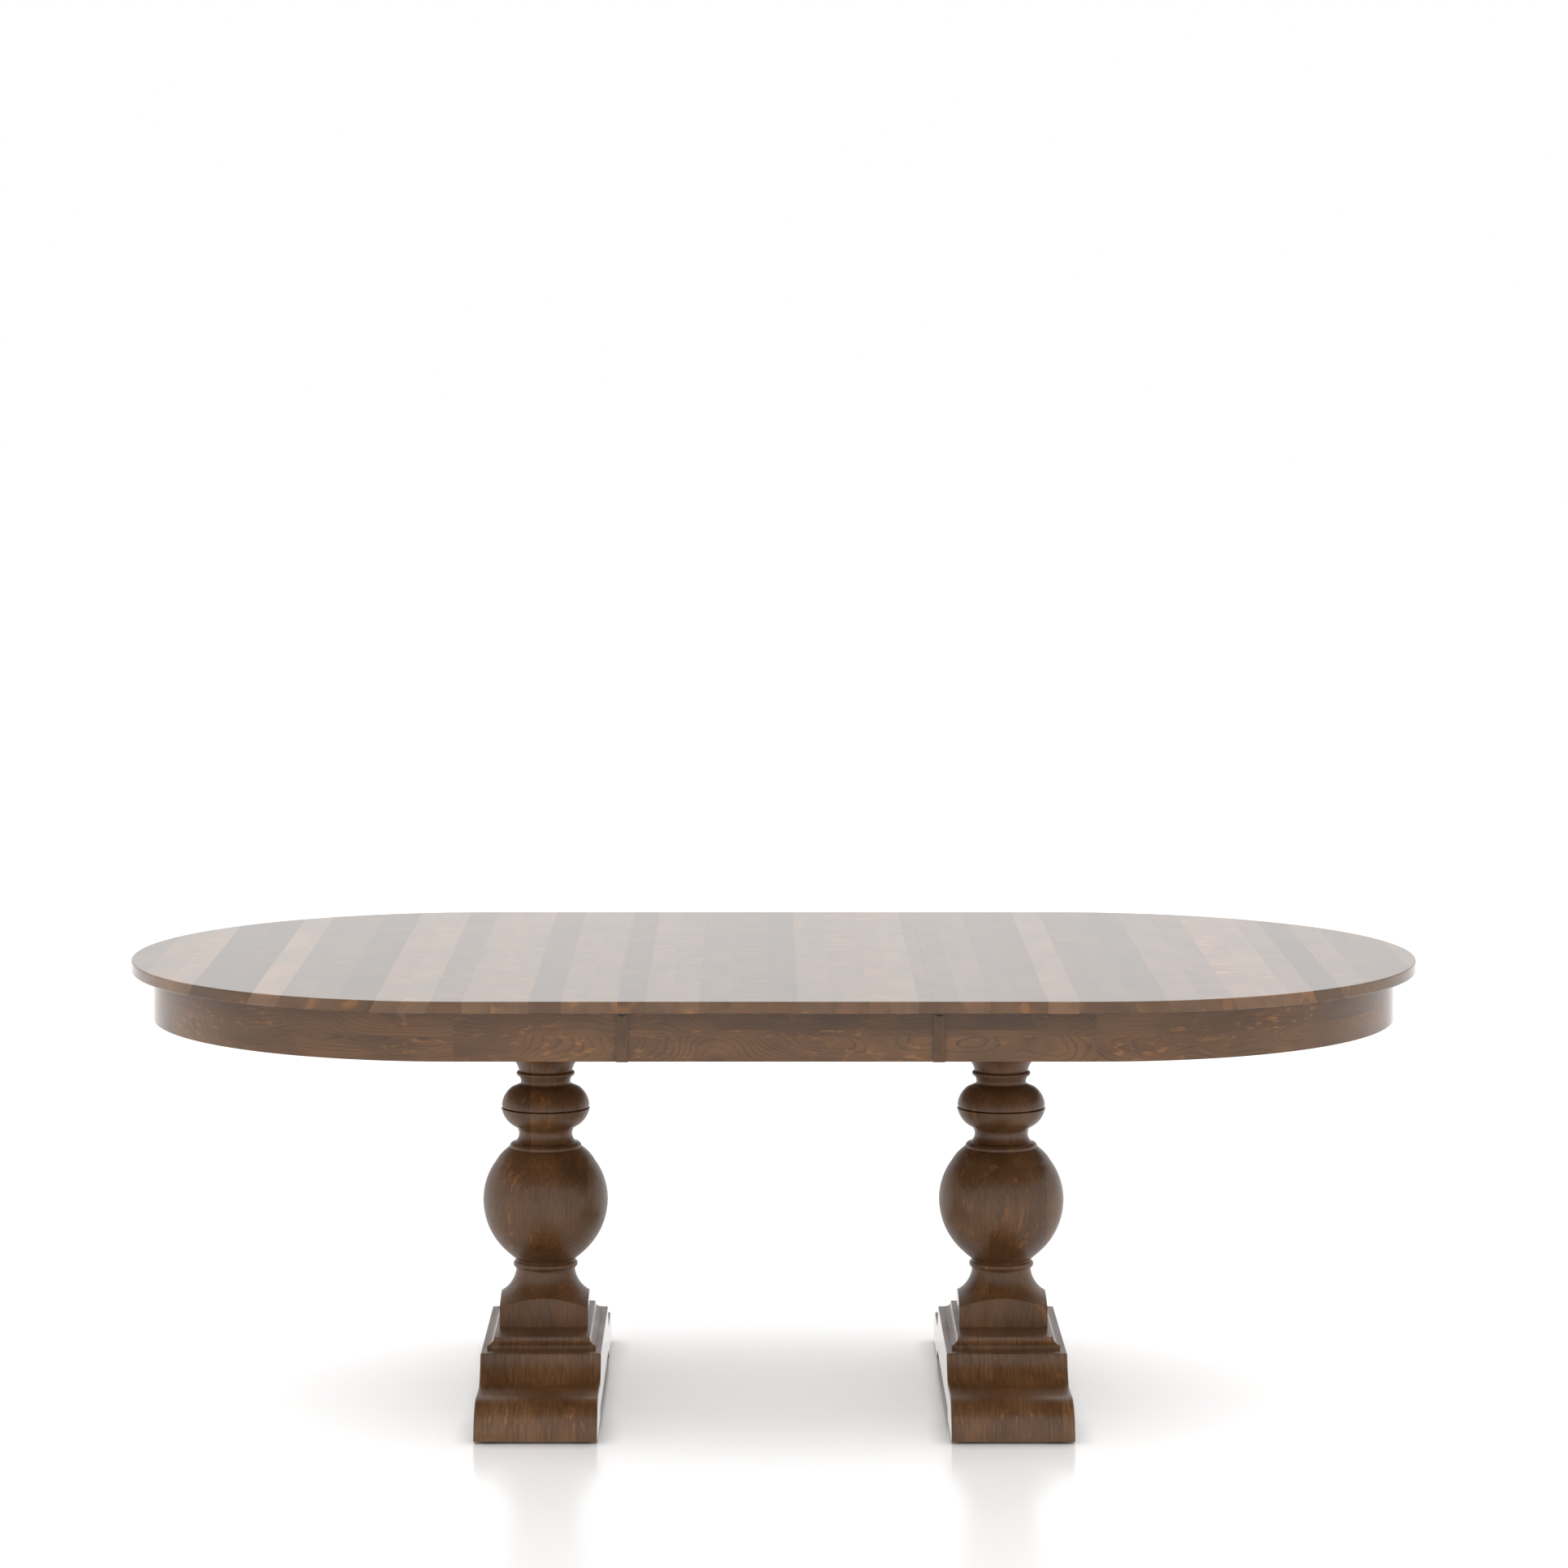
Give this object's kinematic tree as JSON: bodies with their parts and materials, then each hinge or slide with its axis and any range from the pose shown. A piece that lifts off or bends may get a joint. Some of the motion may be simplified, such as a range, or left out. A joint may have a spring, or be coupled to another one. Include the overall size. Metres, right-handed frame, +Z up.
{
  "type": "extension dining table",
  "caption": "Oval dining table on two turned ball-and-ring pedestals with long shaped feet, a lift-out leaf between its halves and geared wooden slides under the top.",
  "frame": {"origin": "on the floor under the middle of the top, with the leaf in place", "axes": "+X along the table's length, +Y from front to back, +Z up"},
  "size_m": [2.235, 1.2192, 0.762],
  "materials": {
    "top_wood": "brown stained hardwood staves, satin lacquer",
    "apron_wood": "brown stained hardwood boards, satin lacquer",
    "pedestal_wood": "brown stained glued-up hardwood, turned and shaped, satin lacquer",
    "inner_wood": "pale hardwood under the top, clear sealer",
    "steel": "zinc plated",
    "nylon": "dark nylon"
  },
  "bodies": {
    "left_half": {"left_top": "top_wood", "left_front_apron": "apron_wood", "left_back_apron": "apron_wood", "left_end_apron": "apron_wood", "left_strip": "apron_wood", "left_side_blocks": "inner_wood", "left_end_blocks": "inner_wood", "left_end_batten": "inner_wood", "left_front_rail": "inner_wood", "left_back_rail": "inner_wood", "left_racks": "nylon", "left_top_screws": "steel", "left_bolster": "inner_wood", "left_bolster_screws": "steel", "left_head_bolts": "steel", "left_column": "pedestal_wood", "left_plinth": "pedestal_wood", "left_foot": "pedestal_wood", "left_foot_bolts": "steel", "left_foot_glides": "nylon", "left_lock_plates": "steel"},
    "right_half": {"right_top": "top_wood", "right_front_apron": "apron_wood", "right_back_apron": "apron_wood", "right_end_apron": "apron_wood", "right_strip": "apron_wood", "right_side_blocks": "inner_wood", "right_end_blocks": "inner_wood", "right_end_batten": "inner_wood", "right_front_rail": "inner_wood", "right_back_rail": "inner_wood", "right_racks": "nylon", "right_top_screws": "steel", "right_bolster": "inner_wood", "right_bolster_screws": "steel", "right_head_bolts": "steel", "right_column": "pedestal_wood", "right_plinth": "pedestal_wood", "right_foot": "pedestal_wood", "right_foot_bolts": "steel", "right_foot_glides": "nylon", "right_lock_plates": "steel"},
    "slide_centre": {"front_middle_rail": "inner_wood", "back_middle_rail": "inner_wood", "middle_rail_tie": "inner_wood", "tie_screws": "steel", "pinion_axles": "steel"},
    "leaf": {"leaf_top": "top_wood", "leaf_front_apron": "apron_wood", "leaf_back_apron": "apron_wood", "leaf_strips": "apron_wood", "leaf_blocks": "inner_wood", "leaf_lock_studs": "steel"},
    "front_pinion": {"front_pinion": "nylon"},
    "back_pinion": {"back_pinion": "nylon"},
    "left_front_lever": {"left_front_lever": "steel"},
    "left_back_lever": {"left_back_lever": "steel"},
    "right_front_lever": {"right_front_lever": "steel"},
    "right_back_lever": {"right_back_lever": "steel"}
  },
  "joints": [
    {"name": "right_half_slide", "type": "slide", "parent": "left_half", "child": "right_half", "axis": [1, 0, 0], "range_m": [0, 0.1]},
    {"name": "middle_rails_slide", "type": "slide", "parent": "left_half", "child": "slide_centre", "axis": [1, 0, 0], "range_m": [0, 0.05]},
    {"name": "leaf_lift", "type": "slide", "parent": "slide_centre", "child": "leaf", "axis": [0, 0, 1], "range_m": [0, 0.3]},
    {"name": "front_pinion_turn", "type": "hinge", "parent": "slide_centre", "child": "front_pinion", "pos_m": [0, -0.3, 0.728], "axis": [0, 0, 1], "range_deg": [-160, 0]},
    {"name": "back_pinion_turn", "type": "hinge", "parent": "slide_centre", "child": "back_pinion", "pos_m": [0, 0.3, 0.728], "axis": [0, 0, 1], "range_deg": [-160, 0]},
    {"name": "left_front_lever_turn", "type": "hinge", "parent": "left_half", "child": "left_front_lever", "pos_m": [-0.304, -0.43, 0.7365], "axis": [0, 0, -1], "range_deg": [0, 90]},
    {"name": "left_back_lever_turn", "type": "hinge", "parent": "left_half", "child": "left_back_lever", "pos_m": [-0.304, 0.43, 0.7365], "axis": [0, 0, 1], "range_deg": [0, 90]},
    {"name": "right_front_lever_turn", "type": "hinge", "parent": "right_half", "child": "right_front_lever", "pos_m": [0.304, -0.43, 0.7365], "axis": [0, 0, 1], "range_deg": [0, 90]},
    {"name": "right_back_lever_turn", "type": "hinge", "parent": "right_half", "child": "right_back_lever", "pos_m": [0.304, 0.43, 0.7365], "axis": [0, 0, -1], "range_deg": [0, 90]}
  ],
  "couplings": [
    {"joint": "middle_rails_slide", "follows": "right_half_slide", "ratio": 0.5},
    {"joint": "front_pinion_turn", "follows": "right_half_slide", "rad_per_m": -27.778},
    {"joint": "back_pinion_turn", "follows": "right_half_slide", "rad_per_m": -27.778}
  ]
}
